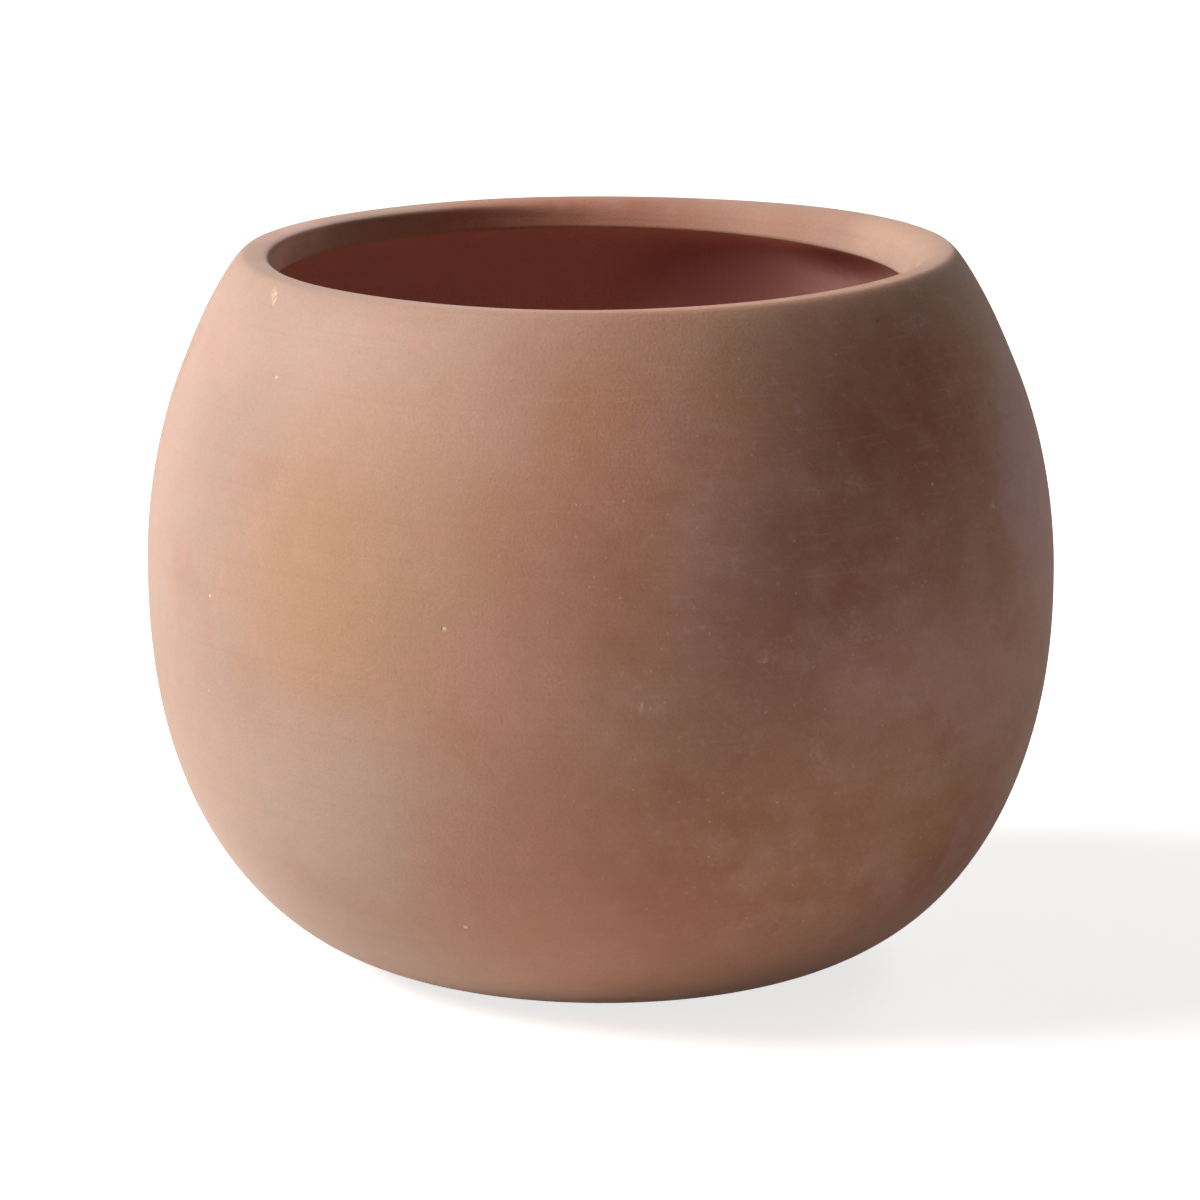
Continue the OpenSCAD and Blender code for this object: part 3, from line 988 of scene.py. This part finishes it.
def plug_outline(s, hole_r, head_top, nose_z):
    """Outline of the plug as (radius, height) rows, from the middle of the head's underside to the nose."""
    head_bottom = head_top - s.head_thickness
    head_r, dish_z = s.head_width / 2, head_bottom + DISH_DEPTH
    stem_r = hole_r - s.gap - s.rib_depth
    dish_side = (head_r * DISH_FLOOR, dish_z)
    rows = [
        [[AXIS_GAP, dish_z], dish_side],
        bend(dish_side, (head_r * DISH_BEND, head_bottom), (head_r * DISH_END, head_bottom), 4),
        bend((head_r - HEAD_EDGE, head_bottom), (head_r, head_bottom), (head_r, head_bottom + HEAD_EDGE), 5),
        bend((head_r, head_top - HEAD_EDGE / 2), (head_r, head_top), (head_r - HEAD_EDGE / 2, head_top), 4),
        bend((stem_r + HEAD_EDGE / 2, head_top), (stem_r, head_top), (stem_r, head_top + HEAD_EDGE / 3), 3),
    ]
    ribs = int((nose_z - s.nose_bevel - head_top) / s.rib_pitch)
    swing = np.linspace(-np.pi / 2, np.pi / 2, 9)
    for i in range(ribs):
        middle = head_top + (i + 0.5) * s.rib_pitch
        rows.append(np.stack([
            stem_r + s.rib_depth * np.cos(swing) ** RIB_POWER, middle + s.rib_height / 2 * np.sin(swing)
        ], axis=1))
    rows.append(bend((stem_r, nose_z - s.nose_bevel), (stem_r, nose_z), (stem_r - s.nose_bevel, nose_z), 5))
    rows.append([[AXIS_GAP, nose_z]])
    return np.concatenate([np.array(r) for r in rows])


def pull_tab(s, head_bottom):
    """The plug's tab: a rounded slab, squared in plan, with cosine ridges across its underside."""
    rings, sides = 24, 64
    turn, over = np.linspace(0, 2 * np.pi, sides, endpoint=False), np.linspace(0, np.pi, rings)
    head_r = s.head_width / 2
    share = np.sin(over)[:, None] ** TAB_EDGE
    length_half = (s.tab_reach + TAB_ROOT) / 2
    middle_x = head_r + s.tab_reach - length_half
    x = middle_x + length_half * share * squared(np.cos(turn), TAB_PLAN)
    y = s.tab_width / 2 * share * squared(np.sin(turn), TAB_PLAN)
    up = squared(np.cos(over), TAB_FACE)[:, None]
    ridged = 0.5 + 0.5 * np.cos(2 * np.pi * (x - head_r) / RIDGE_PITCH)
    gripped = ease(head_r + RIDGES_FROM, head_r + RIDGES_WHOLE, x) * ease(RIDGE_REACH, RIDGE_FLAT, np.abs(y))
    z = head_bottom + s.tab_thickness / 2 * (1 + up) - s.ridge * ridged * (up < 0) * gripped * (-up)
    return np.stack([x, y, z], axis=-1)[::-1], grid_faces(rings, sides, False, True)


class FLOWER_POT_OT_mould_plug(bpy.types.Operator):
    """Mould the rubber plug with its sealing ribs and pull tab"""

    bl_idname = "flower_pot.mould_plug"
    bl_label = "Mould Drain Plug"

    def execute(self, context):
        s = context.scene.plug_sizes
        vessel = context.scene.vessel_sizes
        head_top = vessel.recess - s.seat
        nose_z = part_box("drain_plug")[1].z
        outline = plug_outline(s, vessel.drain_width / 2, head_top, nose_z)
        parts = [turned(outline, 96), pull_tab(s, head_top - s.head_thickness)]
        plug = make_piece("rubber_plug", parts, soft_rubber(s.rubber))
        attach(plug, "plug")
        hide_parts("drain_plug")
        return {"FINISHED"}


class FLOWER_POT_OT_set_stage(bpy.types.Operator):
    """Set the pale floor, the two soft lamps, the white sky and the camera"""

    bl_idname = "flower_pot.set_stage"
    bl_label = "Set Stage"

    def execute(self, context):
        scene = context.scene
        s = scene.stage_settings
        scene.view_settings.view_transform = "Standard"
        middle = Vector((-s.camera_aside, 0, s.camera_aim))

        angle = np.linspace(0, 2 * np.pi, 96, endpoint=False)
        radii = np.array([1 * MM, s.floor_radius])[:, None]
        disc = np.stack([radii * np.cos(angle), radii * np.sin(angle), 0 * radii * angle], axis=-1)
        floor = make_piece("floor", [(disc, grid_faces(2, len(angle), False, True))], pale_floor(s.floor))

        back = Vector((0, -math.cos(s.camera_elevation), math.sin(s.camera_elevation)))
        camera = bpy.data.objects.new("camera", bpy.data.cameras.new("camera"))
        camera.data.lens = s.lens
        camera.location = middle + back * s.camera_distance
        camera.rotation_euler = (-back).to_track_quat("-Z", "Y").to_euler()
        camera.data.clip_end = 100
        scene.collection.objects.link(camera)
        scene.camera = camera

        for name, turn, elevation, width, power in (
            ("soft_lamp", s.key_turn, s.key_elevation, s.key_width, s.key_power),
            ("back_lamp", s.back_turn, s.back_elevation, s.back_width, s.back_power),
        ):
            level = math.cos(elevation)
            towards = Vector((-math.cos(turn) * level, -math.sin(turn) * level, math.sin(elevation)))
            lamp = bpy.data.objects.new(name, bpy.data.lights.new(name, "AREA"))
            lamp.data.shape = "DISK"
            lamp.data.size = width
            lamp.data.energy = power
            lamp.location = middle + towards * s.lamp_distance
            lamp.rotation_euler = towards.to_track_quat("Z", "Y").to_euler()
            scene.collection.objects.link(lamp)

        world = bpy.data.worlds.new("white sky")
        scene.world = world
        world.use_nodes = True
        tree = world.node_tree
        tree.nodes.clear()
        strength = add(tree, "MapRange", {
            "Value": seen_rays(tree), "To Min": s.ambient, "To Max": 1.0,
        })
        sky = add(tree, "Background", {"Color": (1, 1, 1, 1), "Strength": strength})
        add(tree, "OutputWorld", {"Surface": sky})
        return {"FINISHED"}


class FLOWER_POT_PT_sidebar(bpy.types.Panel):
    """The pot's tools and sizes"""

    bl_idname = "FLOWER_POT_PT_sidebar"
    bl_label = "Flower Pot"
    bl_space_type = "VIEW_3D"
    bl_region_type = "UI"
    bl_category = "Flower Pot"

    def draw(self, context):
        for operator in OPERATORS:
            self.layout.operator(operator.bl_idname)
        for name, group in GROUPS.items():
            box = self.layout.box()
            box.label(text=group.__doc__)
            for key in group.__annotations__:
                box.prop(getattr(context.scene, name), key)


GROUPS = {
    "vessel_sizes": VesselSizes,
    "clay_colours": ClayColours,
    "screen_sizes": ScreenSizes,
    "plug_sizes": PlugSizes,
    "stage_settings": StageSettings,
}
OPERATORS = (
    FLOWER_POT_OT_set_stage,
    FLOWER_POT_OT_turn_vessel,
    FLOWER_POT_OT_mould_screen,
    FLOWER_POT_OT_mould_plug,
)


def register():
    for kind in (*GROUPS.values(), *OPERATORS, FLOWER_POT_PT_sidebar):
        bpy.utils.register_class(kind)
    for name, group in GROUPS.items():
        setattr(bpy.types.Scene, name, PointerProperty(type=group))


def unregister():
    for name in GROUPS:
        delattr(bpy.types.Scene, name)
    for kind in (FLOWER_POT_PT_sidebar, *reversed(OPERATORS), *reversed(list(GROUPS.values()))):
        bpy.utils.unregister_class(kind)


def main():
    """Makes the stage and every piece."""
    register()
    bpy.ops.flower_pot.set_stage()
    bpy.ops.flower_pot.turn_vessel()
    bpy.ops.flower_pot.mould_screen()
    bpy.ops.flower_pot.mould_plug()


if __name__ == "__main__":
    main()
